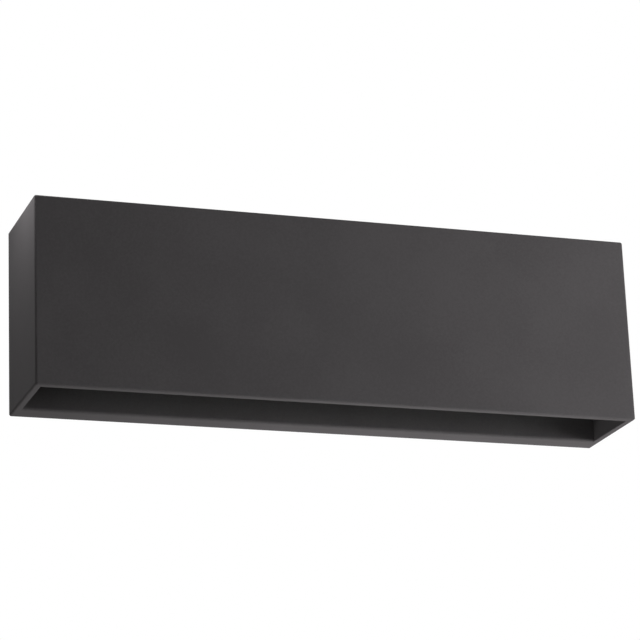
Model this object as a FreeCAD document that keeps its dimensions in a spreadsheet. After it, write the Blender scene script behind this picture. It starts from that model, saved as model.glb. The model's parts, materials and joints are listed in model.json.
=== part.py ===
import FreeCAD, Part
import math
import os
import re

import Sketcher

# An up-and-down outdoor wall light: a cast aluminium box, open above and below, that slides on to a
# folded wall bracket. The wall is the plane y = 0, the front faces -y, z is up, and the origin is on
# the wall, midway between the two wall screws.

# Driving sizes, in millimetres
SIZES = {
    # Cast housing, outside and walls
    "width": 280,
    "depth": 50,
    "height": 86,
    "outer_radius": 1,
    "side_wall": 3.2,
    "front_wall": 3.7,
    "rim_wall": 3,
    "rear_pocket_depth": 8,
    "rear_web": 3,
    "mouth_radius": 1.5,
    "mouth_edge_radius": 0.4,
    # Gear chamber and the shelves that carry the glass
    "chamber_height": 32,
    "shelf_thickness": 5.5,
    "shelf_lip": 3,
    "end_block": 16.8,
    "window_end_lip": 2,
    "end_core_wall": 3.2,
    "end_core_height": 24,
    "end_core_depth": 32,
    # Fits and fasteners
    "screw_diameter": 3,
    "screw_hole_gap": 0.4,
    "thread_gap": 0.1,
    "pan_head_diameter": 5.6,
    "pan_head_height": 1.6,
    "socket_width": 2.3,
    "socket_depth": 1,
    "small_screw_diameter": 2,
    "small_head_diameter": 3.8,
    "small_head_height": 1.2,
    "small_socket_width": 1.5,
    "small_socket_depth": 0.7,
    "drop_in_gap": 0.4,
    "cut_overrun": 1,
    # Glass stack
    "gasket_thickness": 1.5,
    "glass_thickness": 4,
    "glass_edge_chamfer": 0.5,
    "frame_thickness": 2,
    "frame_edge_chamfer": 0.8,
    "glass_end_bearing": 6.5,
    "gasket_lip": 0.5,
    "retainer_screw_length": 14,
    "retainer_screw_inset": 8,
    "retainer_screw_spacing": 18,
    "retainer_hole_depth": 8,
    "sleeve_wall": 1.4,
    # Gear tray, lamp boards and reflectors
    "sheet_thickness": 1.5,
    "bend_radius": 1,
    "tray_end_gap": 4,
    "tray_shelf_gap": 4.5,
    "tray_rear_gap": 9,
    "tray_boss_diameter": 8,
    "tray_boss_height": 2.5,
    "tray_screw_inset": 5,
    "tray_screw_length": 5.5,
    "board_end_setback": 2.5,
    "board_width": 20,
    "board_thickness": 1.6,
    "board_screw_inset": 2.5,
    "board_screw_length": 3.5,
    "led_length": 3.5,
    "led_width": 2.8,
    "led_thickness": 0.7,
    "led_end_inset": 16,
    "reflector_wall": 1,
    "reflector_end_setback": 7.5,
    "reflector_throat": 14,
    "reflector_side_gap": 1.15,
    "reflector_flare": 6,
    "reflector_glass_gap": 0.3,
    # Driver
    "driver_screw_gap": 4.2,
    "driver_length": 72,
    "driver_side_gap": 1.5,
    "driver_depth": 18,
    "driver_edge_radius": 1.5,
    "driver_ear_length": 6,
    "driver_ear_thickness": 2,
    "driver_screw_length": 3.5,
    # Rear cover with its wiring well
    "cover_thickness": 1.8,
    "cover_gasket_thickness": 1,
    "cover_overlap": 6,
    "cover_corner_radius": 4,
    "cover_screw_inset": 9,
    "cover_hole_depth": 6,
    "cover_screw_length": 7,
    "well_left": 58,
    "well_right": 12,
    "well_tray_gap": 0.5,
    "well_depth": 18.8,
    "well_wall": 1.5,
    "well_corner_radius": 2,
    "cover_rib_width": 1.6,
    "cover_rib_height": 1.5,
    # Terminal block, earth screw and lead grommet
    "pole_pitch": 10,
    "terminal_end_gap": 6.5,
    "terminal_side_gap": 2,
    "terminal_depth": 10,
    "terminal_edge_chamfer": 1,
    "terminal_screw_well": 4,
    "terminal_screw_sink": 3,
    "terminal_screw_length": 4,
    "wire_hole_diameter": 3.2,
    "wire_hole_depth": 5,
    "earth_screw_inset": 20,
    "earth_boss_diameter": 7,
    "earth_boss_height": 3,
    "earth_screw_length": 3.5,
    "lead_grommet_bore": 5,
    "lead_grommet_neck": 8,
    "lead_grommet_flange": 10.5,
    "lead_grommet_lip": 1.2,
    "lead_grommet_y": 14,
    # Wall bracket, wall gasket and cable grommet
    "wall_gasket_thickness": 1,
    "wall_gasket_inset": 5,
    "bracket_side_gap": 0.3,
    "slide_gap": 0.15,
    "flange_setback": 8.5,
    "flange_front_gap": 0.8,
    "wing_drop": 3,
    "wall_screw_spacing": 160,
    "wall_slot_width": 5.5,
    "wall_slot_length": 12,
    "box_screw_spacing": 60,
    "box_slot_width": 4.5,
    "box_slot_length": 10,
    "cable_hole_diameter": 14,
    "cable_bore": 8.5,
    "grommet_flange": 18,
    "grommet_nose": 12,
    "grommet_nose_length": 1.5,
    "grommet_fit": 0.1,
    # Locking screws and nuts
    "lock_end_inset": 50,
    "lock_y": 5.2,
    "lock_head_diameter": 6,
    "lock_head_height": 1.5,
    "lock_head_gap": 0.2,
    "lock_screw_length": 8,
    "nut_width": 5.4,
    "nut_thickness": 2.4,
    "nut_relief": 1.5,
}

# Whole numbers of repeated pieces
LED_COUNT = 14
POLE_COUNT = 3

# Derived places: half sizes from the middle plane, distances from the wall and heights above the middle
FORMULAS = {
    "inner_half_width": "width / 2 - side_wall",
    "pocket_half_height": "height / 2 - rim_wall",
    "recess_rear": "rear_pocket_depth + rear_web",
    "recess_front": "depth - front_wall",
    "chamber_half_height": "chamber_height / 2",
    "ledge": "chamber_half_height + shelf_thickness",
    "gasket_face": "ledge + gasket_thickness",
    "glass_face": "gasket_face + glass_thickness",
    "frame_face": "glass_face + frame_thickness",
    "chamber_half_length": "inner_half_width - end_block",
    "window_half_length": "chamber_half_length - window_end_lip",
    "window_rear": "recess_rear + shelf_lip",
    "window_front": "recess_front - shelf_lip",
    "optic_line": "(recess_rear + recess_front) / 2",
    "clear_hole": "screw_diameter + screw_hole_gap",
    "tapped_hole": "screw_diameter + thread_gap",
    "small_clear_hole": "small_screw_diameter + screw_hole_gap",
    "small_tapped_hole": "small_screw_diameter + thread_gap",
    "glass_half_length": "window_half_length + glass_end_bearing",
    "glass_rear": "recess_rear + drop_in_gap",
    "glass_front": "recess_front - drop_in_gap",
    "frame_half_length": "inner_half_width - drop_in_gap",
    "retainer_screw_x": "inner_half_width - retainer_screw_inset",
    "tray_length": "2 * (chamber_half_length - tray_end_gap)",
    "tray_height": "chamber_height - 2 * tray_shelf_gap",
    "tray_screw_x": "tray_length / 2 - tray_screw_inset",
    "tray_front": "recess_front - tray_boss_height",
    "tray_back": "rear_pocket_depth + tray_rear_gap",
    "tray_floor": "tray_front - sheet_thickness",
    "tray_inner_half": "tray_height / 2 - sheet_thickness",
    "board_length": "tray_length - 2 * board_end_setback",
    "board_face": "tray_height / 2 + board_thickness",
    "board_screw_x": "board_length / 2 - board_screw_inset",
    "reflector_inner_length": "board_length - 2 * reflector_end_setback",
    "reflector_mouth": "window_front - window_rear - 2 * (reflector_side_gap + reflector_wall)",
    "reflector_top": "gasket_face - reflector_glass_gap",
    "driver_ear_tip": "tray_screw_x - pan_head_diameter / 2 - driver_screw_gap",
    "driver_finish": "driver_ear_tip - driver_ear_length",
    "driver_start": "driver_finish - driver_length",
    "driver_half_height": "tray_inner_half - driver_side_gap",
    "cover_back": "rear_pocket_depth - cover_gasket_thickness - cover_thickness",
    "cover_front": "rear_pocket_depth - cover_gasket_thickness",
    "cover_half_length": "chamber_half_length + cover_overlap",
    "cover_half_height": "chamber_half_height + cover_overlap",
    "cover_screw_z": "chamber_half_height + shelf_thickness / 2",
    "cover_screw_spacing": "2 * (chamber_half_length - cover_screw_inset) / 3",
    "well_half_height": "tray_inner_half - well_tray_gap",
    "well_floor": "cover_back + well_depth - well_wall",
    "terminal_left": "well_left - well_wall - terminal_end_gap",
    "terminal_half_height": "well_half_height - well_wall - terminal_side_gap",
    "earth_screw_x": "well_right - earth_screw_inset",
    "bracket_back": "wall_gasket_thickness",
    "bracket_front": "wall_gasket_thickness + sheet_thickness",
    "flange_front": "rear_pocket_depth - flange_front_gap",
    "bracket_half_width": "inner_half_width - bracket_side_gap",
    "bracket_half_height": "pocket_half_height - slide_gap",
    "flange_half_length": "bracket_half_width - flange_setback",
    "flange_inner": "bracket_half_height - sheet_thickness",
    "lock_x": "width / 2 - lock_end_inset",
}

SIDES = ("down", "up")
REAR = "XZ_Plane"
LEVEL = "XY_Plane"
END = "YZ_Plane"
ALONG_X, ALONG_Y = 0, 1
TOUCH = 1e-4

# Turns that carry a fastener drawn along +z, head up, on to the way its head faces
FACING = {
    "rear": FreeCAD.Rotation(FreeCAD.Vector(1, 0, 0), -90),
    "up": FreeCAD.Rotation(),
    "down": FreeCAD.Rotation(FreeCAD.Vector(1, 0, 0), 180),
}

doc = FreeCAD.newDocument("wall_light")
sheet = doc.addObject("Spreadsheet::Sheet", "Sizes")


def fill_sheet():
    """Writes each driving size beside its name."""
    for row, (name, size) in enumerate(SIZES.items(), start=1):
        sheet.set("A%d" % row, name)
        sheet.set("B%d" % row, str(size))
        sheet.setAlias("B%d" % row, name)
    doc.recompute()


def bind(text):
    """Spells a formula out in the sheet's cells."""

    def spell(match):
        word = match.group(0)
        if word in FORMULAS:
            return "(" + bind(FORMULAS[word]) + ")"
        return "Sizes." + word

    return re.sub(r"[a-z_]+", spell, text)


def number(text):
    """The value that a formula has now."""
    return float(sheet.evalExpression(bind(text)))


def level(side, height):
    """A height above the middle on the upper side, or below it on the lower side."""
    return "(%s)" % height if side == "up" else "-(%s)" % height


def both(half):
    """The two opposite places at one distance from the middle plane."""
    return ("-(%s)" % half, "(%s)" % half)


# Sketches


def new_body(name):
    body = doc.addObject("PartDesign::Body", name)
    body.Label = name
    return body


def sketch(body, plane, along="0"):
    """A sketch parallel to one of the body's own planes, a distance along its normal."""
    drawing = body.newObject("Sketcher::SketchObject", body.Name + "_sketch")
    support = [f for f in body.Origin.OriginFeatures if f.Role == plane][0]
    drawing.AttachmentSupport = [(support, "")]
    drawing.MapMode = "FlatFace"
    drawing.setExpression("AttachmentOffset.Base.z", bind(along))
    return drawing


def hold(drawing, kind, value, *parts):
    """A dimension of a sketch, tied to a formula."""
    index = drawing.addConstraint(Sketcher.Constraint(kind, *parts, number(value)))
    drawing.setExpression("Constraints[%d]" % index, bind(value))


def pin(drawing, curve, end, across, up):
    """Places one point of a curve by its distances from the sketch's origin."""
    hold(drawing, "DistanceX", across, -1, 1, curve, end)
    hold(drawing, "DistanceY", up, -1, 1, curve, end)


def outline(drawing, points):
    """A closed outline of straight lines."""
    corners = [FreeCAD.Vector(number(across), number(up), 0) for across, up in points]
    first = drawing.GeometryCount
    count = len(points)
    for i in range(count):
        drawing.addGeometry(Part.LineSegment(corners[i], corners[(i + 1) % count]), False)
    for i, (across, up) in enumerate(points):
        after = first + (i + 1) % count
        drawing.addConstraint(Sketcher.Constraint("Coincident", first + i, 2, after, 1))
        pin(drawing, first + i, 1, across, up)


def rectangle(drawing, across, up):
    """A rectangle between two places across and two places up."""
    left, right = across
    low, high = up
    outline(drawing, [(left, low), (right, low), (right, high), (left, high)])


def circle(drawing, across, up, diameter):
    centre = FreeCAD.Vector(number(across), number(up), 0)
    curve = drawing.addGeometry(
        Part.Circle(centre, FreeCAD.Vector(0, 0, 1), number(diameter) / 2), False
    )
    pin(drawing, curve, 3, across, up)
    hold(drawing, "Diameter", diameter, curve)


def obround(drawing, start, finish, wide):
    """A slot: half circles about two centres, joined by straight sides."""
    ends = [FreeCAD.Vector(number(across), number(up), 0) for across, up in (start, finish)]
    radius = number(wide) / 2
    run = (ends[1] - ends[0]).normalize()
    side = FreeCAD.Vector(-run.y, run.x, 0) * radius
    turn = math.atan2(run.y, run.x)
    quarter = math.pi / 2
    normal = FreeCAD.Vector(0, 0, 1)
    first = drawing.GeometryCount
    far = Part.Circle(ends[1], normal, radius)
    near = Part.Circle(ends[0], normal, radius)
    drawing.addGeometry(Part.ArcOfCircle(far, turn - quarter, turn + quarter), False)
    drawing.addGeometry(Part.LineSegment(ends[1] + side, ends[0] + side), False)
    drawing.addGeometry(Part.ArcOfCircle(near, turn + quarter, turn + 3 * quarter), False)
    drawing.addGeometry(Part.LineSegment(ends[0] - side, ends[1] - side), False)
    for i in range(4):
        after = first + (i + 1) % 4
        drawing.addConstraint(Sketcher.Constraint("Tangent", first + i, 2, after, 1))
    drawing.addConstraint(Sketcher.Constraint("Equal", first, first + 2))
    hold(drawing, "Radius", "(%s) / 2" % wide, first)
    pin(drawing, first, 3, *finish)
    pin(drawing, first + 2, 3, *start)


# Features


def volume(body):
    doc.recompute()
    return body.Shape.Volume if not body.Shape.isNull() else 0


def pad(body, drawing, length, forward=True):
    """Adds material from a sketch, along its normal or against it."""
    before = volume(body) if body.Tip else 0
    feature = body.newObject("PartDesign::Pad", body.Name + "_pad")
    feature.Profile = drawing
    feature.setExpression("Length", bind(length))
    feature.Reversed = not forward
    if volume(body) <= before:
        raise ValueError("a pad of %s adds nothing" % body.Label)


def cut(body, drawing, length, forward=True):
    """Takes material away from a sketch, along its normal or against it."""
    before = volume(body)
    feature = body.newObject("PartDesign::Pocket", body.Name + "_cut")
    feature.Profile = drawing
    feature.setExpression("Length", bind(length))
    feature.Reversed = forward
    if volume(body) >= before:
        raise ValueError("a cut of %s takes nothing away" % body.Label)


def runs_along(edge, axis):
    """Whether a straight edge runs along one axis."""
    if len(edge.Vertexes) != 2 or not isinstance(edge.Curve, Part.Line):
        return False
    step = edge.Vertexes[1].Point - edge.Vertexes[0].Point
    return abs(abs(step[axis]) - edge.Length) < TOUCH


def lies(edge, along=None, x=None, y=None, z=None):
    """Whether an edge keeps to the given distances from the origin planes, straight along one axis."""
    for vertex in edge.Vertexes:
        for place, value in zip(vertex.Point, (x, y, z)):
            if value is not None and abs(abs(place) - number(value)) > TOUCH:
                return False
    return along is None or runs_along(edge, along)


def soften(body, kind, size, wanted):
    """Rounds or chamfers the edges that a test picks."""
    doc.recompute()
    names = ["Edge%d" % i for i, edge in enumerate(body.Shape.Edges, start=1) if wanted(edge)]
    if not names:
        raise ValueError("no edge to soften on %s" % body.Label)
    base = body.Tip
    feature = body.newObject("PartDesign::" + kind, body.Name + "_edge")
    feature.Base = (base, names)
    feature.setExpression("Radius" if kind == "Fillet" else "Size", bind(size))
    doc.recompute()
    if "Invalid" in feature.State:
        raise ValueError("an edge of %s does not take its %s" % (body.Label, kind))


def turned(name, plane, points, axis, place):
    """A body turned from a profile about one of its own axes, then moved to its place."""
    body = new_body(name)
    drawing = sketch(body, plane)
    outline(drawing, points)
    feature = body.newObject("PartDesign::Revolution", name + "_turn")
    feature.Profile = drawing
    feature.ReferenceAxis = (drawing, [axis])
    put(body, place)
    doc.recompute()
    return body


# Part primitives


def put(thing, place, facing=None):
    """Binds where a thing stands, with y given as the distance from the wall."""
    if facing:
        thing.Placement = FreeCAD.Placement(FreeCAD.Vector(), FACING[facing])
    x, from_wall, z = place
    thing.setExpression("Placement.Base.x", bind(x))
    thing.setExpression("Placement.Base.y", bind("-(%s)" % from_wall))
    thing.setExpression("Placement.Base.z", bind(z))


def primitive(kind, name, **sizes):
    thing = doc.addObject("Part::" + kind, name)
    for key, value in sizes.items():
        thing.setExpression(key, bind(value))
    return thing


def joined(kind, name, base, tool):
    result = doc.addObject("Part::" + kind, name)
    result.Base = base
    result.Tool = tool
    return result


def screw(name, place, facing, length, small=False, sunk=False):
    """A screw with a six-sided socket, its seat or its flush top at the place given."""
    size = "small_" if small else ""
    radius = ("small_screw_diameter" if small else "screw_diameter") + " / 2"
    if sunk:
        top = "0"
        head = primitive(
            "Cone", name, Radius1=radius, Radius2="lock_head_diameter / 2", Height="lock_head_height"
        )
        head.setExpression("Placement.Base.z", bind("-lock_head_height"))
    else:
        height = "small_head_height" if small else "pan_head_height"
        head_radius = ("small_head_diameter" if small else "pan_head_diameter") + " / 2"
        top = height
        head = primitive("Cylinder", name, Radius=head_radius, Height=height)
    shank_length = "%s - lock_head_height" % length if sunk else length
    shank = primitive("Cylinder", name, Radius=radius, Height=shank_length)
    shank.setExpression("Placement.Base.z", bind("-(%s)" % length))
    socket = primitive(
        "Prism",
        name,
        Circumradius="%ssocket_width / 2" % size,
        Height="%ssocket_depth + cut_overrun" % size,
    )
    socket.Polygon = 6
    socket.setExpression("Placement.Base.z", bind("%s - %ssocket_depth" % (top, size)))
    whole = joined("Cut", name, joined("Fuse", name, head, shank), socket)
    put(whole, place, facing)
    return whole


def group(name, members):
    """Separate solids that share one node."""
    result = doc.addObject("Part::Compound", name)
    result.Label = name
    result.Links = members
    return result


def screws(name, places, facing, length, small=False, sunk=False):
    return group(name, [screw("screw", place, facing, length, small, sunk) for place in places])


# Cast housing


def housing_shell(body):
    """The outer block with its rounded edges, sharp only where it meets the wall."""
    block = sketch(body, REAR)
    rectangle(block, both("width / 2"), both("height / 2"))
    pad(body, block, "depth")

    def shown(edge):
        return lies(edge, y="depth") or lies(edge, ALONG_Y, x="width / 2", z="height / 2")

    soften(body, "Fillet", "outer_radius", shown)


def housing_recesses(body):
    """The rear pocket for the bracket, and the recess above and below down to its glass ledge."""
    pocket = sketch(body, REAR)
    rectangle(pocket, both("inner_half_width"), both("pocket_half_height"))
    cut(body, pocket, "rear_pocket_depth")
    for side in SIDES:
        mouth = sketch(body, LEVEL, level(side, "height / 2"))
        rectangle(mouth, both("inner_half_width"), ("-(recess_front)", "-(recess_rear)"))
        cut(body, mouth, "height / 2 - ledge", forward=side == "down")

    def rear_mouth(edge):
        return lies(edge, ALONG_X, y="recess_rear", z="height / 2")

    def other_mouth(edge):
        front = lies(edge, ALONG_X, y="recess_front", z="height / 2")
        return front or lies(edge, ALONG_Y, x="inner_half_width", z="height / 2")

    soften(body, "Fillet", "mouth_radius", rear_mouth)
    soften(body, "Fillet", "mouth_edge_radius", other_mouth)


def housing_chamber(body):
    """The gear chamber cast from behind, the windows through both shelves and the cored end blocks."""
    chamber = sketch(body, REAR, "rear_pocket_depth")
    rectangle(chamber, both("chamber_half_length"), both("chamber_half_height"))
    cut(body, chamber, "recess_front - rear_pocket_depth")
    window = sketch(body, LEVEL, "-(ledge)")
    rectangle(window, both("window_half_length"), ("-(window_front)", "-(window_rear)"))
    cut(body, window, "2 * ledge")
    cores = sketch(body, REAR, "rear_pocket_depth")
    near = "chamber_half_length + end_core_wall"
    far = "inner_half_width - end_core_wall"
    rectangle(cores, (near, far), both("end_core_height / 2"))
    rectangle(cores, ("-(%s)" % far, "-(%s)" % near), both("end_core_height / 2"))
    cut(body, cores, "end_core_depth")


def housing_fixings(body):
    """Bosses and tapped holes for the tray, the retainer frames and the cover, and the locking holes."""
    bosses = sketch(body, REAR, "recess_front")
    for x in both("tray_screw_x"):
        circle(bosses, x, "0", "tray_boss_diameter")
    pad(body, bosses, "tray_boss_height", forward=False)
    holes = sketch(body, REAR, "tray_front")
    for x in both("tray_screw_x"):
        circle(holes, x, "0", "tapped_hole")
    cut(body, holes, "tray_screw_length - sheet_thickness + thread_gap")
    for side in SIDES:
        holes = sketch(body, LEVEL, level(side, "ledge"))
        for x, y in retainer_screw_places():
            circle(holes, x, "-(%s)" % y, "tapped_hole")
        cut(body, holes, "retainer_hole_depth", forward=side == "down")
    holes = sketch(body, REAR, "rear_pocket_depth")
    for x, z in cover_screw_places():
        circle(holes, x, z, "tapped_hole")
    cut(body, holes, "cover_hole_depth")
    holes = sketch(body, LEVEL, "height / 2")
    for x in both("lock_x"):
        circle(holes, x, "-lock_y", "clear_hole")
    doc.recompute()
    sunk = body.newObject("PartDesign::Hole", "housing_lock_holes")
    sunk.Profile = holes
    doc.recompute()
    sunk.DepthType = "Dimension"
    sunk.Threaded = False
    sunk.HoleCutType = "Countersink"
    sunk.HoleCutCustomValues = True
    sunk.DrillPoint = "Flat"
    sunk.setExpression("Depth", bind("rim_wall"))
    sunk.setExpression("Diameter", bind("clear_hole"))
    sunk.setExpression("HoleCutDiameter", bind("lock_head_diameter + 2 * lock_head_gap"))
    sunk.HoleCutCountersinkAngle = 90
    doc.recompute()


def make_housing():
    body = new_body("housing")
    housing_shell(body)
    housing_recesses(body)
    housing_chamber(body)
    housing_fixings(body)
    return body


# Glass, gasket and retainer frame at the end of each recess


def retainer_screw_places():
    """The four screws of one frame, as distances across and from the wall."""
    spread = ("optic_line - retainer_screw_spacing / 2", "optic_line + retainer_screw_spacing / 2")
    return [(x, y) for x in both("retainer_screw_x") for y in spread]


def make_glass_gasket(side):
    body = new_body("glass_gasket_" + side)
    ring = sketch(body, LEVEL, level(side, "ledge"))
    rectangle(ring, both("glass_half_length"), ("-(glass_front)", "-(glass_rear)"))
    inner = ("-(window_front + gasket_lip)", "-(window_rear - gasket_lip)")
    rectangle(ring, both("window_half_length + gasket_lip"), inner)
    pad(body, ring, "gasket_thickness", forward=side == "up")
    return body


def make_glass(side):
    """A pane with its outer edges ground to a small chamfer."""
    body = new_body("glass_" + side)
    pane = sketch(body, LEVEL, level(side, "gasket_face"))
    rectangle(pane, both("glass_half_length"), ("-(glass_front)", "-(glass_rear)"))
    pad(body, pane, "glass_thickness", forward=side == "up")
    soften(body, "Chamfer", "glass_edge_chamfer", lambda edge: lies(edge, z="glass_face"))
    return body


def make_retainer_frame(side):
    """A flat frame over the pane's edges, with a sleeve round each screw that stands on the ledge."""
    body = new_body("retainer_frame_" + side)
    up = side == "up"
    ring = sketch(body, LEVEL, level(side, "glass_face"))
    rectangle(ring, both("frame_half_length"), ("-(glass_front)", "-(glass_rear)"))
    rectangle(ring, both("window_half_length"), ("-(window_front)", "-(window_rear)"))
    pad(body, ring, "frame_thickness", forward=up)

    def light_edge(edge):
        inside = all(abs(v.X) < number("window_half_length") + TOUCH for v in edge.Vertexes)
        return inside and lies(edge, z="frame_face")

    soften(body, "Chamfer", "frame_edge_chamfer", light_edge)
    sleeves = sketch(body, LEVEL, level(side, "glass_face"))
    for x, y in retainer_screw_places():
        circle(sleeves, x, "-(%s)" % y, "clear_hole + 2 * sleeve_wall")
    pad(body, sleeves, "glass_face - ledge", forward=not up)
    holes = sketch(body, LEVEL, level(side, "frame_face"))
    for x, y in retainer_screw_places():
        circle(holes, x, "-(%s)" % y, "clear_hole")
    cut(body, holes, "frame_face - ledge", forward=not up)
    return body


def make_retainer_screws(side):
    places = [(x, y, level(side, "frame_face")) for x, y in retainer_screw_places()]
    return screws("retainer_screws_" + side, places, side, "retainer_screw_length")


# Gear tray, lamp boards and reflectors


def make_gear_tray():
    """A channel folded from sheet, its web on the two front bosses and its flanges to the rear."""
    body = new_body("gear_tray")
    section = sketch(body, END, "-tray_length / 2")
    half = "tray_height / 2"
    front, floor, back = "-(tray_front)", "-(tray_floor)", "-(tray_back)"
    outline(
        section,
        [
            (back, "-" + half),
            (back, "-(tray_inner_half)"),
            (floor, "-(tray_inner_half)"),
            (floor, "tray_inner_half"),
            (back, "tray_inner_half"),
            (back, half),
            (front, half),
            (front, "-" + half),
        ],
    )
    pad(body, section, "tray_length")
    soften(
        body,
        "Fillet",
        "bend_radius + sheet_thickness",
        lambda edge: lies(edge, ALONG_X, y="tray_front", z="tray_height / 2"),
    )
    soften(
        body,
        "Fillet",
        "bend_radius",
        lambda edge: lies(edge, ALONG_X, y="tray_floor", z="tray_inner_half"),
    )
    holes = sketch(body, REAR, "tray_floor")
    for x in both("tray_screw_x"):
        circle(holes, x, "0", "clear_hole")
    for x in driver_screw_places():
        circle(holes, x, "0", "small_tapped_hole")
    cut(body, holes, "sheet_thickness")
    holes = sketch(body, LEVEL, "-" + half)
    for x in both("board_screw_x"):
        circle(holes, x, "-(optic_line)", "small_tapped_hole")
    cut(body, holes, "tray_height")
    return body


def make_tray_screws():
    places = [(x, "tray_floor", "0") for x in both("tray_screw_x")]
    return screws("tray_screws", places, "rear", "tray_screw_length")


def make_led_board(side):
    body = new_body("led_board_" + side)
    board = sketch(body, LEVEL, level(side, "tray_height / 2"))
    spread = ("-(optic_line + board_width / 2)", "-(optic_line - board_width / 2)")
    rectangle(board, both("board_length / 2"), spread)
    for x in both("board_screw_x"):
        circle(board, x, "-(optic_line)", "small_clear_hole")
    pad(body, board, "board_thickness", forward=side == "up")
    return body


def make_leds(side):
    """A row of evenly spaced lamps on one board."""
    low = "board_face" if side == "up" else "-(board_face + led_thickness)"
    pitch = "(board_length - 2 * led_end_inset) / %d" % (LED_COUNT - 1)
    lamps = []
    for i in range(LED_COUNT):
        lamp = primitive(
            "Box", "lamp", Length="led_length", Width="led_width", Height="led_thickness"
        )
        x = "led_end_inset - board_length / 2 - led_length / 2 + %d * %s" % (i, pitch)
        put(lamp, (x, "optic_line + led_width / 2", low))
        lamps.append(lamp)
    return group("leds_" + side, lamps)


def make_board_screws(side):
    places = [(x, "optic_line", level(side, "board_face")) for x in both("board_screw_x")]
    return screws("board_screws_" + side, places, side, "board_screw_length", small=True)


def loft(body, kind, near, far, half_lengths, half_widths):
    """A form that widens from one rectangle to another at two heights."""
    sections = []
    for height, half_length, half_width in zip((near, far), half_lengths, half_widths):
        drawing = sketch(body, LEVEL, height)
        spread = ("-(optic_line + %s)" % half_width, "-(optic_line - %s)" % half_width)
        rectangle(drawing, both(half_length), spread)
        sections.append(drawing)
    feature = body.newObject("PartDesign::" + kind, body.Name + "_loft")
    feature.Profile = sections[0]
    feature.Sections = [sections[1]]
    feature.Ruled = True
    doc.recompute()


def make_reflector(side):
    """A trough whose walls flare from the lamp row up to the glass."""
    body = new_body("reflector_" + side)
    near = level(side, "board_face")
    far = level(side, "reflector_top")
    lengths = ("reflector_inner_length / 2", "reflector_inner_length / 2 + reflector_flare")
    widths = ("reflector_throat / 2", "(reflector_mouth) / 2")
    outer_lengths = [text + " + reflector_wall" for text in lengths]
    outer_widths = ["(%s + reflector_wall)" % text for text in widths]
    loft(body, "AdditiveLoft", near, far, outer_lengths, outer_widths)
    loft(body, "SubtractiveLoft", near, far, lengths, ["(%s)" % text for text in widths])
    return body


# Driver


def driver_screw_places():
    reach = "driver_ear_length / 2"
    return ("driver_start - " + reach, "driver_finish + " + reach)


def make_driver():
    """The driver's case on the tray's web, with a screw ear at each end."""
    body = new_body("driver")
    case = sketch(body, REAR, "tray_floor - driver_depth")
    rectangle(case, ("driver_start", "driver_finish"), both("driver_half_height"))
    pad(body, case, "driver_depth")
    soften(
        body,
        "Fillet",
        "driver_edge_radius",
        lambda edge: lies(edge, y="tray_floor - driver_depth") or lies(edge, ALONG_Y),
    )
    ears = sketch(body, REAR, "tray_floor - driver_ear_thickness")
    tips = ("driver_start - driver_ear_length", "driver_ear_tip")
    rectangle(ears, tips, both("driver_half_height - driver_edge_radius"))
    pad(body, ears, "driver_ear_thickness")
    holes = sketch(body, REAR, "tray_floor - driver_ear_thickness")
    for x in driver_screw_places():
        circle(holes, x, "0", "small_clear_hole")
    cut(body, holes, "driver_ear_thickness")
    return body


def make_driver_screws():
    seat = "tray_floor - driver_ear_thickness"
    places = [(x, seat, "0") for x in driver_screw_places()]
    return screws("driver_screws", places, "rear", "driver_screw_length", small=True)


# Rear cover and what its wiring well holds


def cover_screw_places():
    """Four screws above and four below the chamber's opening."""
    steps = ("cover_screw_spacing / 2", "3 * cover_screw_spacing / 2")
    return [(x, z) for step in steps for x in both(step) for z in both("cover_screw_z")]


def make_rear_cover():
    """A moulded plate with a wiring well sunk into the chamber and ribs across its inner face."""
    body = new_body("rear_cover")
    plate = sketch(body, REAR, "cover_back")
    rectangle(plate, both("cover_half_length"), both("cover_half_height"))
    pad(body, plate, "cover_thickness")

    def plate_corner(edge):
        return lies(edge, ALONG_Y)

    soften(body, "Fillet", "cover_corner_radius", plate_corner)
    well = sketch(body, REAR, "cover_front")
    rectangle(well, ("-well_left", "well_right"), both("well_half_height"))
    pad(body, well, "well_depth - cover_thickness")

    def well_edge(edge):
        return lies(edge, y="cover_back + well_depth")

    soften(body, "Fillet", "well_corner_radius", well_edge)
    rib_top = "chamber_half_height - cover_rib_height"
    ribs = sketch(body, REAR, "cover_front")
    starts = (
        "(chamber_half_length + well_right) / 2",
        "-(chamber_half_length + well_left) / 2",
    )
    for start in starts:
        span = ("%s - cover_rib_width / 2" % start, "%s + cover_rib_width / 2" % start)
        rectangle(ribs, span, both(rib_top))
    pad(body, ribs, "cover_rib_height")
    hollow = sketch(body, REAR, "cover_back")
    inside = ("-well_left + well_wall", "well_right - well_wall")
    rectangle(hollow, inside, both("well_half_height - well_wall"))
    cut(body, hollow, "well_depth - well_wall")
    boss = sketch(body, REAR, "well_floor")
    circle(boss, "earth_screw_x", "0", "earth_boss_diameter")
    pad(body, boss, "earth_boss_height", forward=False)
    thread = sketch(body, REAR, "well_floor - earth_boss_height")
    circle(thread, "earth_screw_x", "0", "tapped_hole")
    cut(body, thread, "earth_screw_length + thread_gap")
    lead = sketch(body, END, "well_right")
    circle(lead, "-lead_grommet_y", "0", "lead_grommet_neck")
    cut(body, lead, "well_wall", forward=False)
    holes = sketch(body, REAR, "cover_back")
    for x, z in cover_screw_places():
        circle(holes, x, z, "clear_hole")
    cut(body, holes, "cover_thickness")
    return body


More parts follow.
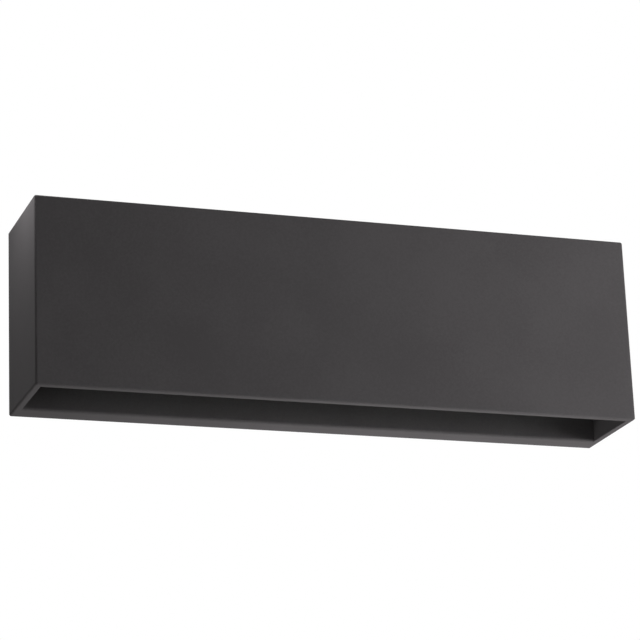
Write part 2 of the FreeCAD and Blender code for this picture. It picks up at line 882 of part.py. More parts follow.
def make_rear_cover_gasket():
    body = new_body("rear_cover_gasket")
    ring = sketch(body, REAR, "cover_front")
    rectangle(ring, both("cover_half_length"), both("cover_half_height"))
    inside = "chamber_half_length + gasket_lip", "chamber_half_height + gasket_lip"
    rectangle(ring, both(inside[0]), both(inside[1]))
    for x, z in cover_screw_places():
        circle(ring, x, z, "clear_hole")
    pad(body, ring, "cover_gasket_thickness")
    soften(
        body,
        "Fillet",
        "cover_corner_radius",
        lambda edge: lies(edge, ALONG_Y, x="cover_half_length"),
    )
    return body


def make_rear_cover_screws():
    places = [(x, "cover_back", z) for x, z in cover_screw_places()]
    return screws("rear_cover_screws", places, "rear", "cover_screw_length")


def terminal_poles():
    return ["pole_pitch / 2 - terminal_left + %d * pole_pitch" % i for i in range(POLE_COUNT)]


def make_terminal_block():
    """A three-pole block on the well's floor, with a screw well and two wire holes a pole."""
    body = new_body("terminal_block")
    block = sketch(body, REAR, "well_floor - terminal_depth")
    span = ("-terminal_left", "%d * pole_pitch - terminal_left" % POLE_COUNT)
    rectangle(block, span, both("terminal_half_height"))
    pad(body, block, "terminal_depth")
    soften(
        body,
        "Chamfer",
        "terminal_edge_chamfer",
        lambda edge: lies(edge, ALONG_X, y="well_floor - terminal_depth"),
    )
    wells = sketch(body, REAR, "well_floor - terminal_depth")
    for x in terminal_poles():
        circle(wells, x, "0", "terminal_screw_well")
    cut(body, wells, "terminal_screw_sink + terminal_screw_length")
    for side in SIDES:
        wires = sketch(body, LEVEL, level(side, "terminal_half_height"))
        for x in terminal_poles():
            circle(wires, x, "-(well_floor - terminal_depth / 2)", "wire_hole_diameter")
        cut(body, wires, "wire_hole_depth - terminal_screw_well / 2", forward=side == "down")
    return body


def make_terminal_screws():
    seat = "well_floor - terminal_depth + terminal_screw_sink"
    places = [(x, seat, "0") for x in terminal_poles()]
    return screws("terminal_screws", places, "rear", "terminal_screw_length", small=True)


def make_earth_screw():
    places = [("earth_screw_x", "well_floor - earth_boss_height", "0")]
    return screws("earth_screw", places, "rear", "earth_screw_length")


def make_lead_grommet():
    """A rubber ring in the well's side wall, turned about the lead's line."""
    neck = "lead_grommet_neck / 2 - grommet_fit / 2"
    flange = "lead_grommet_flange / 2"
    bore = "lead_grommet_bore / 2"
    inner = "-well_wall - lead_grommet_lip"
    profile = [
        (inner, bore),
        ("lead_grommet_lip", bore),
        ("lead_grommet_lip", flange),
        ("0", flange),
        ("0", neck),
        ("-well_wall", neck),
        ("-well_wall", flange),
        (inner, flange),
    ]
    return turned("lead_grommet", LEVEL, profile, "H_Axis", ("well_right", "lead_grommet_y", "0"))


# Wall bracket and what stays on the wall with it


def wall_slots(drawing):
    """The two slots for the wall screws and the two for a wiring box, in the bracket and its pad."""
    for spacing, long, wide in (
        ("wall_screw_spacing", "wall_slot_length", "wall_slot_width"),
        ("box_screw_spacing", "box_slot_length", "box_slot_width"),
    ):
        for middle in both(spacing + " / 2"):
            reach = "(%s - %s) / 2" % (long, wide)
            start = ("%s - %s" % (middle, reach), "0")
            finish = ("%s + %s" % (middle, reach), "0")
            obround(drawing, start, finish, wide)


def bracket_fold(body):
    """The folded channel: a back plate with a flange along its top and its bottom."""
    section = sketch(body, END, "-(flange_half_length)")
    half = "bracket_half_height"
    back, plate, front = "-(bracket_back)", "-(bracket_front)", "-(flange_front)"
    outline(
        section,
        [
            (front, "-(%s)" % half),
            (front, "-(flange_inner)"),
            (plate, "-(flange_inner)"),
            (plate, "flange_inner"),
            (front, "flange_inner"),
            (front, half),
            (back, half),
            (back, "-(%s)" % half),
        ],
    )
    pad(body, section, "2 * flange_half_length")
    soften(
        body,
        "Fillet",
        "bend_radius + sheet_thickness",
        lambda edge: lies(edge, ALONG_X, y="bracket_back", z=half),
    )
    soften(
        body,
        "Fillet",
        "bend_radius",
        lambda edge: lies(edge, ALONG_X, y="bracket_front", z="flange_inner"),
    )
    wings = sketch(body, REAR, "bracket_back")
    rectangle(wings, both("bracket_half_width"), both("flange_inner - wing_drop"))
    pad(body, wings, "sheet_thickness")


def make_wall_bracket():
    """The bracket with its slots, its cable hole and the open slots that the locking screws leave by."""
    body = new_body("wall_bracket")
    bracket_fold(body)
    holes = sketch(body, REAR, "bracket_back")
    wall_slots(holes)
    circle(holes, "0", "0", "cable_hole_diameter")
    cut(body, holes, "sheet_thickness")
    windows = sketch(body, REAR, "bracket_back")
    nut_low = "flange_inner - slide_gap - nut_thickness - nut_relief"
    for x in both("lock_x"):
        reach = "(nut_width / 2 + nut_relief)"
        span = ("%s - %s" % (x, reach), "%s + %s" % (x, reach))
        rectangle(windows, span, (nut_low, "flange_inner"))
    cut(body, windows, "sheet_thickness + bend_radius")
    slots = sketch(body, LEVEL, "bracket_half_height")
    for x in both("lock_x"):
        obround(slots, (x, "-lock_y"), (x, "-(flange_front + clear_hole)"), "clear_hole")
    cut(body, slots, "sheet_thickness", forward=False)
    return body


def make_wall_gasket():
    body = new_body("wall_gasket")
    mat = sketch(body, REAR)
    half_width = "bracket_half_width - wall_gasket_inset"
    rectangle(mat, both(half_width), both("flange_inner - wall_gasket_inset"))
    wall_slots(mat)
    circle(mat, "0", "0", "grommet_flange + 2 * slide_gap")
    pad(body, mat, "wall_gasket_thickness")
    return body


def make_cable_grommet():
    """A rubber ring in the bracket's cable hole, with a tapered nose towards the wiring well."""
    neck = "cable_hole_diameter / 2 - grommet_fit / 2"
    flange = "grommet_flange / 2"
    bore = "cable_bore / 2"
    front = "-(bracket_front)"
    lip = "-(bracket_front + wall_gasket_thickness)"
    nose = "-(bracket_front + wall_gasket_thickness + grommet_nose_length)"
    profile = [
        (bore, "0"),
        (flange, "0"),
        (flange, "-(bracket_back)"),
        (neck, "-(bracket_back)"),
        (neck, front),
        (flange, front),
        (flange, lip),
        ("grommet_nose / 2", nose),
        (bore, nose),
    ]
    return turned("cable_grommet", LEVEL, profile, "V_Axis", ("0", "0", "0"))


# What locks the housing to the bracket


def make_locking_screws():
    seat = "height / 2 - lock_head_gap"
    places = [(x, "lock_y", seat) for x in both("lock_x")]
    return screws("locking_screws", places, "up", "lock_screw_length", sunk=True)


def make_locking_nuts():
    """Square nuts under the bracket's top flange, on the screws' ends."""
    top = "flange_inner - slide_gap"
    nuts = []
    for x in both("lock_x"):
        blank = primitive(
            "Box", "nut_blank", Length="nut_width", Width="nut_width", Height="nut_thickness"
        )
        bottom = "%s - nut_thickness" % top
        put(blank, ("%s - nut_width / 2" % x, "lock_y + nut_width / 2", bottom))
        thread = primitive(
            "Cylinder",
            "nut_thread",
            Radius="tapped_hole / 2",
            Height="nut_thickness + 2 * cut_overrun",
        )
        put(thread, (x, "lock_y", "%s - cut_overrun" % bottom))
        nuts.append(joined("Cut", "nut", blank, thread))
    return group("locking_nuts", nuts)


def make_all():
    parts = [make_housing(), make_gear_tray(), make_tray_screws()]
    for side in SIDES:
        for make in (
            make_glass_gasket,
            make_glass,
            make_retainer_frame,
            make_retainer_screws,
            make_led_board,
            make_leds,
            make_board_screws,
            make_reflector,
        ):
            parts.append(make(side))
    for make in (
        make_driver,
        make_driver_screws,
        make_rear_cover,
        make_rear_cover_gasket,
        make_rear_cover_screws,
        make_terminal_block,
        make_terminal_screws,
        make_earth_screw,
        make_lead_grommet,
        make_wall_bracket,
        make_wall_gasket,
        make_cable_grommet,
        make_locking_screws,
        make_locking_nuts,
    ):
        parts.append(make())
    return parts


def check(parts):
    """Stops on any object that failed and any part without a sound solid."""
    doc.recompute()
    for thing in doc.Objects:
        if "Invalid" in thing.State or "Error" in thing.State:
            raise ValueError("%s failed: %s" % (thing.Name, thing.State))
    for part in parts:
        if part.Shape.isNull() or not part.Shape.isValid() or not part.Shape.Solids:
            raise ValueError("%s has no sound solid" % part.Label)


def export(parts):
    os.makedirs("parts", exist_ok=True)
    for part in parts:
        part.Shape.exportStep(os.path.join("parts", part.Label + ".step"))
        print("%s: %d solids, %.0f mm3" % (part.Label, len(part.Shape.Solids), part.Shape.Volume))


fill_sheet()
light = make_all()
check(light)
export(light)
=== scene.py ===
import json
import math

import bpy
import numpy as np
from mathutils import Matrix, Vector

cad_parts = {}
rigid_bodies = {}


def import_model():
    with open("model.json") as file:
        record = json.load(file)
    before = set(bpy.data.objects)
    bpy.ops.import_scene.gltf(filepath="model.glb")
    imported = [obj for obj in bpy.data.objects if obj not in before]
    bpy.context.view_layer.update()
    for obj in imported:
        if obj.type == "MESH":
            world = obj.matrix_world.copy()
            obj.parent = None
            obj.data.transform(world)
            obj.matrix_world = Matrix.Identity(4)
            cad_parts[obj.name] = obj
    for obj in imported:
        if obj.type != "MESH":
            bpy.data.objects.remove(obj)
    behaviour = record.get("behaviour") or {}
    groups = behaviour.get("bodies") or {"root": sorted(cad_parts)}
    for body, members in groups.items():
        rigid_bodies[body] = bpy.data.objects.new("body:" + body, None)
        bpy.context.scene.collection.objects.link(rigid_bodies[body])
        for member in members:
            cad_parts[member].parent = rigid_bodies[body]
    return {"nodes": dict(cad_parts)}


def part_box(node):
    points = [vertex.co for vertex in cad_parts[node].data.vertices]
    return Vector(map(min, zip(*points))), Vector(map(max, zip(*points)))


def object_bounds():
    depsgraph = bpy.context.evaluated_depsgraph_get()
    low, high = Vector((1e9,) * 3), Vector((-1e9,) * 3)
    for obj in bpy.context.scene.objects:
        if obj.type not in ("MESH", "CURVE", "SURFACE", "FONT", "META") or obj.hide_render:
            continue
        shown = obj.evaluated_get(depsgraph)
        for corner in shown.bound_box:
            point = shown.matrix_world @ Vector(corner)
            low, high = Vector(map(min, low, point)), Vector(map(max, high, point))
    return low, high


# An up-and-down outdoor wall light. The wall is the plane y = 0, the front faces -y and z is up.
# Lengths are in metres, apart from what per_metre is given and the camera's lens and sensor.

# The lamp row, and what is printed on its board
LAMP_COUNT = 14
LAMP_LENGTH = 0.0035
PHOSPHOR_RADIUS = 0.00115
LAMP_TRACK_WIDTH = 0.0068
LAMP_TRACK_PARTING = 0.0014
RETURN_TRACK_LINE = -0.0075
RETURN_TRACK_WIDTH = 0.0016
PAD_FROM_LAMP_MIDDLE = 0.0019
PAD_LENGTH = 0.0012
PAD_WIDTH = 0.0022

# How far the patterns stand out from their surface or sink into it
COAT_GRAIN_HEIGHT = 0.00004
TRACK_HEIGHT = 0.00004
FOAM_CELL_DEPTH = 0.0002

# How far the zinc's crystals are pushed out of their straight-edged pattern
CRYSTAL_WARP = 0.003

# The range that a noise pattern mostly keeps to, and the whole range of a pattern
MOST_NOISE = (0.3, 0.7)
WHOLE_RANGE = (0.0, 1.0)

# Sockets of a colour Mix node that have no name of their own
MIX_UNDER, MIX_OVER, MIX_RESULT = 6, 7, 2

# The floor's height, how far it reaches each way and how many lines of points it has each way
FLOOR_HEIGHT = -1.8
FLOOR_REACH = 20.0
FLOOR_LINES = 21

# The photograph's camera, fitted to the edges of the light: its angles in degrees, how far it
# stands from the middle of the box, and how far it is then moved sideways and up
CAMERA_TURN = -19.5985
CAMERA_TILT = -17.8845
CAMERA_ROLL = -2.2892
CAMERA_DISTANCE = 1.25751
CAMERA_SIDESTEP = -0.001878
CAMERA_RISE = 0.003091
LENS_MILLIMETRES = 156.17
SENSOR_MILLIMETRES = 36.0
NEAREST_SEEN = 0.05
FARTHEST_SEEN = 100.0

# Each softbox: its place, the place it faces, its width, its height and its watts
SOFTBOXES = {
    "near_right": ((0.5, -0.42, -0.02), (0.12, -0.05, 0.0), 0.3, 0.25, 4.7),
    "under_back": ((0.105, 0.1, -0.34), (0.09, 0.0, -0.043), 0.06, 0.26, 1.55),
    "under_front": ((0.11, -0.1, -0.36), (0.1, -0.03, -0.043), 0.05, 0.1, 0.3),
    "left_corner": ((-0.17, -0.042, 0.075), (-0.14, -0.04, 0.03), 0.02, 0.02, 0.07),
    "left_fill": ((-1.0, 0.1, -0.25), (-0.14, -0.02, -0.02), 0.3, 0.3, 1.1),
    "overhead": ((0.1, 0.1, 1.3), (0.0, -0.02, 0.04), 1.2, 1.0, 6.5),
    "behind_right": ((0.6, 1.1, 0.5), (0.0, 0.0, 0.0), 0.6, 0.6, 7.0),
    "behind_left": ((-0.4, 1.1, 0.55), (-0.05, 0.0, 0.0), 0.5, 0.5, 1.0),
    "right_side": ((1.2, 0.2, 0.25), (0.14, -0.02, 0.0), 0.4, 0.4, 0.8),
}

# The world's strength as a light on the object. The eye sees it at 1, as white
AMBIENT = 0.17


# Colour and nodes


def linear(code):
    """An sRGB hex colour as linear red, green and blue, with alpha 1."""
    parts = [int(code[i : i + 2], 16) / 255 for i in (1, 3, 5)]
    return tuple(
        part / 12.92 if part <= 0.04045 else ((part + 0.055) / 1.055) ** 2.4 for part in parts
    ) + (1.0,)


def per_metre(millimetres):
    """The scale that makes a pattern's cells this large."""
    return 1000.0 / millimetres


def add(tree, kind, inputs=None, stops=None, **settings):
    """Adds a node. Its settings are named, its inputs are values or other nodes' outputs, and the
    stops are the places and colours of a ramp."""
    made = tree.nodes.new(kind)
    for name, value in settings.items():
        setattr(made, name, value)
    for name, value in (inputs or {}).items():
        if isinstance(value, bpy.types.NodeSocket):
            tree.links.new(value, made.inputs[name])
        else:
            made.inputs[name].default_value = value
    if stops:
        ramp = made.color_ramp
        while len(ramp.elements) < len(stops):
            ramp.elements.new(1.0)
        for element, (place, code) in zip(ramp.elements, stops):
            element.position = place
            element.color = linear(code)
    return made


def new_finish(name, constants):
    """A material with its shader's constants: the material, its tree, its shader and the place on
    the piece in metres."""
    material = bpy.data.materials.new(name)
    material.use_nodes = True
    tree = material.node_tree
    tree.nodes.clear()
    shader = add(tree, "ShaderNodeBsdfPrincipled", constants)
    add(tree, "ShaderNodeOutputMaterial", {"Surface": shader.outputs["BSDF"]})
    place = add(tree, "ShaderNodeTexCoord").outputs["Object"]
    return material, tree, shader, place


def vary(tree, shader, tone, stops, wear, span, roughness):
    """One pattern, tone, runs the colour through the stops. Another, wear, runs the roughness from
    the first of the pair to the second as it goes through its span."""
    colour = add(tree, "ShaderNodeValToRGB", {"Fac": tone}, stops=stops)
    tree.links.new(colour.outputs["Color"], shader.inputs["Base Color"])
    ends = dict(zip(("From Min", "From Max", "To Min", "To Max"), span + roughness))
    gloss = add(tree, "ShaderNodeMapRange", {"Value": wear, **ends})
    tree.links.new(gloss.outputs["Result"], shader.inputs["Roughness"])


# Metals and coats


def powder_coat(name, low, high, roughness):
    """Polyester powder baked on aluminium: even and satin, with a fine grain that softens every
    reflection and a faint cloudiness where the coat runs thicker."""
    # The coat shows next to no sheen in the photograph, so its specular level is low
    material, tree, shader, place = new_finish(name, {"Specular IOR Level": 0.02})
    # The real grit is near 0.2 mm and would not show, so it is drawn coarser
    grains = add(
        tree, "ShaderNodeTexNoise", {"Vector": place, "Scale": per_metre(0.9), "Detail": 3.0}
    ).outputs["Fac"]
    clouds = add(
        tree, "ShaderNodeTexNoise", {"Vector": place, "Scale": per_metre(40), "Detail": 2.0}
    ).outputs["Fac"]
    both = add(tree, "ShaderNodeMath", {0: grains, 1: clouds}, operation="ADD")
    half = add(tree, "ShaderNodeMath", {0: both.outputs[0], 1: 0.5}, operation="MULTIPLY")
    stops = [(0.38, low), (0.62, high)]
    gloss = (roughness - 0.04, roughness + 0.05)
    vary(tree, shader, half.outputs[0], stops, grains, MOST_NOISE, gloss)
    relief = add(
        tree, "ShaderNodeBump", {"Height": grains, "Strength": 0.35, "Distance": COAT_GRAIN_HEIGHT}
    )
    tree.links.new(relief.outputs["Normal"], shader.inputs["Normal"])
    return material


def rolled_aluminium():
    """Mill-finish sheet: bright, with fine lines along the rolling direction."""
    material, tree, shader, place = new_finish("rolled_aluminium_sheet", {"Metallic": 1.0})
    # Real rolling lines are under 0.1 mm wide and would not show, so they are drawn coarser
    along = add(
        tree,
        "ShaderNodeMapping",
        {"Vector": place, "Scale": (per_metre(60), per_metre(0.7), per_metre(0.7))},
    )
    lines = add(
        tree, "ShaderNodeTexNoise", {"Vector": along.outputs[0], "Scale": 1.0, "Detail": 4.0}
    ).outputs["Fac"]
    stops = [(0.3, "#b7babd"), (0.7, "#d2d4d6")]
    vary(tree, shader, lines, stops, lines, MOST_NOISE, (0.3, 0.44))
    return material


def galvanised_sheet():
    """Hot-dipped zinc on steel: flat crystals of about 4 mm, each a slightly different grey."""
    material, tree, shader, place = new_finish("galvanised_steel_sheet", {"Metallic": 1.0})
    noise = add(tree, "ShaderNodeTexNoise", {"Vector": place, "Scale": per_metre(9), "Detail": 2.0})
    warp = add(
        tree,
        "ShaderNodeVectorMath",
        {0: noise.outputs["Color"], 1: (CRYSTAL_WARP, CRYSTAL_WARP, CRYSTAL_WARP)},
        operation="MULTIPLY",
    )
    moved = add(tree, "ShaderNodeVectorMath", {0: place, 1: warp.outputs[0]}, operation="ADD")
    crystals = add(
        tree, "ShaderNodeTexVoronoi", {"Vector": moved.outputs[0], "Scale": per_metre(4)}
    )
    greys = add(tree, "ShaderNodeSeparateColor", {"Color": crystals.outputs["Color"]}).outputs
    stops = [(0.0, "#959b9e"), (0.5, "#a3a8aa"), (1.0, "#b4b9ba")]
    vary(tree, shader, greys["Red"], stops, greys["Green"], WHOLE_RANGE, (0.4, 0.5))
    return material


def tumbled_steel():
    """Stainless screws: cold-headed and tumbled, so satin with a few darker specks in the
    hollows."""
    material, tree, shader, place = new_finish("tumbled_stainless_steel", {"Metallic": 1.0})
    specks = add(
        tree, "ShaderNodeTexNoise", {"Vector": place, "Scale": per_metre(0.5), "Detail": 4.0}
    ).outputs["Fac"]
    stops = [(0.3, "#949593"), (0.7, "#a6a6a3")]
    vary(tree, shader, specks, stops, specks, MOST_NOISE, (0.24, 0.4))
    return material


def plain_brass():
    """Turned brass screws: warm and half bright, slightly tarnished in patches."""
    material, tree, shader, place = new_finish("turned_brass", {"Metallic": 1.0})
    stain = add(
        tree, "ShaderNodeTexNoise", {"Vector": place, "Scale": per_metre(1.5), "Detail": 3.0}
    ).outputs["Fac"]
    stops = [(0.3, "#a8833e"), (0.7, "#d9b766")]
    vary(tree, shader, stain, stops, stain, WHOLE_RANGE, (0.22, 0.38))
    return material


# Glass, plastics and rubbers


def frosted_glass():
    """Soda-lime float glass, acid-etched: what is behind it shows blurred, with a faint green."""
    material, tree, shader, place = new_finish(
        "etched_float_glass", {"Transmission Weight": 0.7, "IOR": 1.52}
    )
    # Real etching is finer than 0.1 mm and would not show, so it is drawn coarser
    etch = add(
        tree, "ShaderNodeTexNoise", {"Vector": place, "Scale": per_metre(0.8), "Detail": 3.0}
    ).outputs["Fac"]
    stops = [(0.3, "#edf4f0"), (0.7, "#f4f9f6")]
    vary(tree, shader, etch, stops, etch, MOST_NOISE, (0.32, 0.38))
    return material


def moulded(name, low, high, roughness, texture, depth):
    """Plastic or rubber from a mould: the mould's spark-eroded skin gives a fine even grain, and
    the flow of the material faint clouds. The texture is the grain's size in millimetres, and the
    depth is how far it stands out."""
    material, tree, shader, place = new_finish(name, {})
    # Real mould skins are near 0.1 mm and would not show, so they are drawn coarser
    skin = add(
        tree, "ShaderNodeTexNoise", {"Vector": place, "Scale": per_metre(texture), "Detail": 3.0}
    ).outputs["Fac"]
    flow = add(
        tree, "ShaderNodeTexNoise", {"Vector": place, "Scale": per_metre(25), "Detail": 1.0}
    ).outputs["Fac"]
    stops = [(0.3, low), (0.7, high)]
    vary(tree, shader, flow, stops, skin, MOST_NOISE, (roughness - 0.05, roughness + 0.05))
    relief = add(tree, "ShaderNodeBump", {"Height": skin, "Strength": 0.4, "Distance": depth})
    tree.links.new(relief.outputs["Normal"], shader.inputs["Normal"])
    return material


def closed_cell_foam():
    """Black-grey foamed rubber, cut from sheet: round cells of about 0.8 mm, open on the cut
    face, each painted darker towards its middle as painted shade in its hollow."""
    material, tree, shader, place = new_finish(
        "closed_cell_foam_rubber", {"Roughness": 0.85, "Specular IOR Level": 0.3}
    )
    cells = add(
        tree, "ShaderNodeTexVoronoi", {"Vector": place, "Scale": per_metre(0.8)}
    ).outputs["Distance"]
    # The colour follows the same cell distance as the bump, so each open cell is painted darker in
    # its hollow: painted shade
    tone = add(
        tree, "ShaderNodeValToRGB", {"Fac": cells}, stops=[(0.1, "#3a3b3c"), (0.5, "#5b5c5d")]
    )
    tree.links.new(tone.outputs["Color"], shader.inputs["Base Color"])
    relief = add(
        tree, "ShaderNodeBump", {"Height": cells, "Strength": 0.6, "Distance": FOAM_CELL_DEPTH}
    )
    tree.links.new(relief.outputs["Normal"], shader.inputs["Normal"])
    return material


# Lamp boards


def lamp_places(tree, place):
    """How far a point is along the row from its nearest lamp, and across from the row's middle."""
    # The two rows stand one above the other, so the lower one's box serves both
    low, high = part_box("leds_down")
    first = low[0] + LAMP_LENGTH / 2
    pitch = (high[0] - low[0] - LAMP_LENGTH) / (LAMP_COUNT - 1)
    middle = (low[1] + high[1]) / 2
    parts = add(tree, "ShaderNodeSeparateXYZ", {"Vector": place}).outputs
    start = add(tree, "ShaderNodeMath", {0: parts["X"], 1: first}, operation="SUBTRACT")
    along = add(
        tree, "ShaderNodeMath", {0: start.outputs[0], 1: pitch / 2}, operation="PINGPONG"
    )
    across = add(tree, "ShaderNodeMath", {0: parts["Y"], 1: middle}, operation="SUBTRACT")
    return along.outputs[0], across.outputs[0]


def within(tree, distance, line, width):
    """One where a distance lies inside a band of this width about its line, else nought."""
    return add(
        tree, "ShaderNodeMath", {0: distance, 1: line, 2: width / 2}, operation="COMPARE"
    ).outputs[0]


def lamp_board():
    """White solder mask over copper: the tracks stand out as faintly darker bands, and the pads at
    the lamps' ends are tinned."""
    material, tree, shader, place = new_finish("white_solder_mask_board", {"Roughness": 0.38})
    along, across = lamp_places(tree, place)
    mottle = add(
        tree, "ShaderNodeTexNoise", {"Vector": place, "Scale": per_metre(2.5), "Detail": 3.0}
    )
    mask = add(
        tree,
        "ShaderNodeValToRGB",
        {"Fac": mottle.outputs["Fac"]},
        stops=[(0.3, "#e6e6e1"), (0.7, "#efefeb")],
    )
    # The lamps' own track is parted under each lamp, and the return track runs through
    band = within(tree, across, 0.0, LAMP_TRACK_WIDTH)
    parting = add(
        tree, "ShaderNodeMath", {0: along, 1: LAMP_TRACK_PARTING / 2}, operation="LESS_THAN"
    ).outputs[0]
    track = add(
        tree, "ShaderNodeMath", {0: band, 1: parting}, operation="SUBTRACT", use_clamp=True
    ).outputs[0]
    rail = within(tree, across, RETURN_TRACK_LINE, RETURN_TRACK_WIDTH)
    copper = add(tree, "ShaderNodeMath", {0: track, 1: rail}, operation="MAXIMUM").outputs[0]
    over_copper = add(
        tree,
        "ShaderNodeMix",
        {"Factor": copper, MIX_UNDER: mask.outputs["Color"], MIX_OVER: linear("#d3d0c3")},
        data_type="RGBA",
    ).outputs[MIX_RESULT]
    pad_long = within(tree, along, PAD_FROM_LAMP_MIDDLE, PAD_LENGTH)
    pad_wide = within(tree, across, 0.0, PAD_WIDTH)
    pad = add(tree, "ShaderNodeMath", {0: pad_long, 1: pad_wide}, operation="MULTIPLY").outputs[0]
    tinned = add(
        tree,
        "ShaderNodeMix",
        {"Factor": pad, MIX_UNDER: over_copper, MIX_OVER: linear("#c4c6c6")},
        data_type="RGBA",
    ).outputs[MIX_RESULT]
    tree.links.new(tinned, shader.inputs["Base Color"])
    tree.links.new(pad, shader.inputs["Metallic"])
    relief = add(
        tree, "ShaderNodeBump", {"Height": copper, "Strength": 0.5, "Distance": TRACK_HEIGHT}
    )
    tree.links.new(relief.outputs["Normal"], shader.inputs["Normal"])
    return material


def lamp_package():
    """A white moulded package with a round window of yellow phosphor in silicone."""
    material, tree, shader, place = new_finish("lamp_package_with_phosphor", {"Roughness": 0.35})
    along, across = lamp_places(tree, place)
    flat = add(tree, "ShaderNodeCombineXYZ", {"X": along, "Y": across})
    reach = add(tree, "ShaderNodeVectorMath", {0: flat.outputs[0]}, operation="LENGTH")
    window = add(
        tree,
        "ShaderNodeMath",
        {0: reach.outputs["Value"], 1: PHOSPHOR_RADIUS},
        operation="LESS_THAN",
    )
    # Real phosphor grains are near 0.02 mm and would not show, so they are drawn coarser
    grains = add(
        tree, "ShaderNodeTexNoise", {"Vector": place, "Scale": per_metre(0.25), "Detail": 2.0}
    )
    phosphor = add(
        tree,
        "ShaderNodeValToRGB",
        {"Fac": grains.outputs["Fac"]},
        stops=[(0.3, "#e3b23c"), (0.7, "#f2cf5e")],
    )
    tone = add(
        tree,
        "ShaderNodeMix",
        {
            "Factor": window.outputs[0],
            MIX_UNDER: linear("#f0efe9"),
            MIX_OVER: phosphor.outputs["Color"],
        },
        data_type="RGBA",
    )
    tree.links.new(tone.outputs[MIX_RESULT], shader.inputs["Base Color"])
    return material


# Studio finishes


def seen_rays(tree):
    """One for what the eye, a reflection or a view through glass meets, else nought."""
    rays = add(tree, "ShaderNodeLightPath").outputs
    shown = add(
        tree,
        "ShaderNodeMath",
        {0: rays["Is Camera Ray"], 1: rays["Is Glossy Ray"]},
        operation="MAXIMUM",
    )
    return add(
        tree,
        "ShaderNodeMath",
        {0: shown.outputs[0], 1: rays["Is Transmission Ray"]},
        operation="MAXIMUM",
    ).outputs[0]


def pale_floor():
    """Plain matt floor with a barely visible mottle. It glows to the eye, to reflections and to
    views through glass alone, and so keeps the light's shadow and throws no more light on it."""
    material, tree, shader, place = new_finish("pale_matt_floor", {"Roughness": 0.9})
    mottle = add(
        tree, "ShaderNodeTexNoise", {"Vector": place, "Scale": per_metre(350), "Detail": 2.0}
    )
    tone = add(
        tree,
        "ShaderNodeValToRGB",
        {"Fac": mottle.outputs["Fac"]},
        stops=[(0.3, "#e4e3e0"), (0.7, "#e8e7e5")],
    )
    tree.links.new(tone.outputs["Color"], shader.inputs["Base Color"])
    tree.links.new(tone.outputs["Color"], shader.inputs["Emission Color"])
    tree.links.new(seen_rays(tree), shader.inputs["Emission Strength"])
    return material


# Meshes


def grid_mesh(name, points, material):
    """A mesh of four-sided faces over a grid of points, given as rows by columns by three."""
    rows, columns = points.shape[:2]
    corner = np.arange(rows * columns).reshape(rows, columns)
    faces = np.stack(
        [corner[:-1, :-1], corner[:-1, 1:], corner[1:, 1:], corner[1:, :-1]], axis=-1
    ).reshape(-1, 4)
    mesh = bpy.data.meshes.new(name)
    mesh.from_pydata(points.reshape(-1, 3).tolist(), [], faces.tolist())
    mesh.materials.append(material)
    piece = bpy.data.objects.new(name, mesh)
    bpy.context.scene.collection.objects.link(piece)
    return piece


def floor_sheet():
    """A level square: x and y run evenly from side to side, and z is the floor's height, as far
    below as such a light hangs above the ground."""
    line = np.linspace(-FLOOR_REACH, FLOOR_REACH, FLOOR_LINES)
    across, along = np.meshgrid(line, line)
    points = np.stack([across, along, np.full_like(across, FLOOR_HEIGHT)], axis=-1)
    floor = grid_mesh("floor", points, pale_floor())


# Dressing of the CAD nodes


def dress(nodes):
    """Gives every CAD node the finish of its real piece."""
    anthracite = powder_coat("anthracite_powder_coat", "#434142", "#484647", 0.78)
    black_coat = powder_coat("black_powder_coat", "#232324", "#29292a", 0.42)
    aluminium = rolled_aluminium()
    zinc = galvanised_sheet()
    steel = tumbled_steel()
    brass = plain_brass()
    glass = frosted_glass()
    foam = closed_cell_foam()
    board = lamp_board()
    lamp = lamp_package()
    silicone = moulded("moulded_silicone", "#cfcfca", "#dadad6", 0.55, 1.2, 0.00002)
    rubber = moulded("moulded_black_rubber", "#1d1d1e", "#252526", 0.6, 0.8, 0.00004)
    white = moulded("matt_white_polycarbonate", "#ececea", "#f3f3f1", 0.6, 0.9, 0.00002)
    grey = moulded("light_grey_polycarbonate", "#cfd0cd", "#d8d9d6", 0.5, 0.7, 0.00003)
    black = moulded("spark_textured_black_polymer", "#202021", "#29292a", 0.55, 0.6, 0.00005)
    nylon = moulded("natural_nylon", "#dcdacb", "#e6e4d7", 0.45, 1.0, 0.00002)
    finishes = {
        "housing": anthracite,
        "gear_tray": aluminium,
        "tray_screws": steel,
        "driver": grey,
        "driver_screws": steel,
        "rear_cover": black,
        "rear_cover_gasket": silicone,
        "rear_cover_screws": steel,
        "terminal_block": nylon,
        "terminal_screws": brass,
        "earth_screw": brass,
        "lead_grommet": rubber,
        "wall_bracket": zinc,
        "wall_gasket": foam,
        "cable_grommet": rubber,
        "locking_screws": steel,
        "locking_nuts": steel,
    }
    for side in ("down", "up"):
        finishes["glass_gasket_" + side] = silicone
        finishes["glass_" + side] = glass
        finishes["retainer_frame_" + side] = black_coat
        finishes["retainer_screws_" + side] = steel
        finishes["led_board_" + side] = board
        finishes["leds_" + side] = lamp
        finishes["board_screws_" + side] = steel
        finishes["reflector_" + side] = white
    for name, thing in nodes.items():
        thing.data.materials.clear()
        thing.data.materials.append(finishes[name])


# Camera, lamps and world


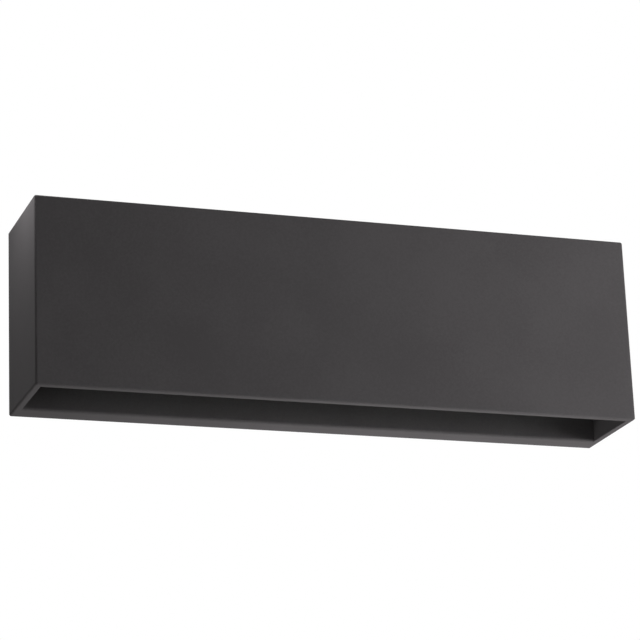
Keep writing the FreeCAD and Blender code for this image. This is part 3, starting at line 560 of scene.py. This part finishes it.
def photo_camera(box):
    """Stands below the light and to its left and faces it, as the photograph's camera did."""
    turn, tilt, roll = (math.radians(a) for a in (CAMERA_TURN, CAMERA_TILT, CAMERA_ROLL))
    flat = math.cos(tilt)
    back = Vector((math.sin(turn) * flat, -math.cos(turn) * flat, math.sin(tilt)))
    right = (-back).cross(Vector((0, 0, 1))).normalized()
    up = right.cross(-back)
    middle = (Vector(box[0]) + Vector(box[1])) / 2
    place = middle + back * CAMERA_DISTANCE + right * CAMERA_SIDESTEP + up * CAMERA_RISE
    level = math.cos(roll) * right + math.sin(roll) * up
    upright = -math.sin(roll) * right + math.cos(roll) * up
    facing = Matrix((level, upright, back)).transposed().to_4x4()
    camera = bpy.data.objects.new("camera", bpy.data.cameras.new("camera"))
    bpy.context.scene.collection.objects.link(camera)
    camera.matrix_world = Matrix.Translation(place) @ facing
    camera.data.sensor_width = SENSOR_MILLIMETRES
    camera.data.lens = LENS_MILLIMETRES
    camera.data.clip_start = NEAREST_SEEN
    camera.data.clip_end = FARTHEST_SEEN
    bpy.context.scene.camera = camera


def softbox(name, place, target, width, height, power):
    """A flat white diffuser that faces its target."""
    lamp = bpy.data.lights.new(name, "AREA")
    lamp.shape = "RECTANGLE"
    lamp.size = width
    lamp.size_y = height
    lamp.energy = power
    thing = bpy.data.objects.new(name, lamp)
    bpy.context.scene.collection.objects.link(thing)
    thing.location = place
    aim = Vector(target) - Vector(place)
    thing.rotation_euler = aim.to_track_quat("-Z", "Y").to_euler()


def studio():
    """Softboxes round the light, and a world that is white to the eye and to reflections."""
    for name, settings in SOFTBOXES.items():
        softbox(name, *settings)
    world = bpy.data.worlds.new("studio")
    bpy.context.scene.world = world
    world.use_nodes = True
    tree = world.node_tree
    tree.nodes.clear()
    strength = add(
        tree,
        "ShaderNodeMapRange",
        {"Value": seen_rays(tree), "To Min": AMBIENT, "To Max": 1.0},
    )
    glow = add(
        tree,
        "ShaderNodeBackground",
        {"Color": linear("#ffffff"), "Strength": strength.outputs["Result"]},
    )
    add(tree, "ShaderNodeOutputWorld", {"Surface": glow.outputs[0]})
    bpy.context.scene.view_settings.view_transform = "Standard"


def clear_start():
    """Takes away what a new file holds."""
    for thing in list(bpy.data.objects):
        bpy.data.objects.remove(thing)


clear_start()
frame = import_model()
cad_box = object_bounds()
photo_camera(cad_box)
dress(frame["nodes"])
floor_sheet()
studio()
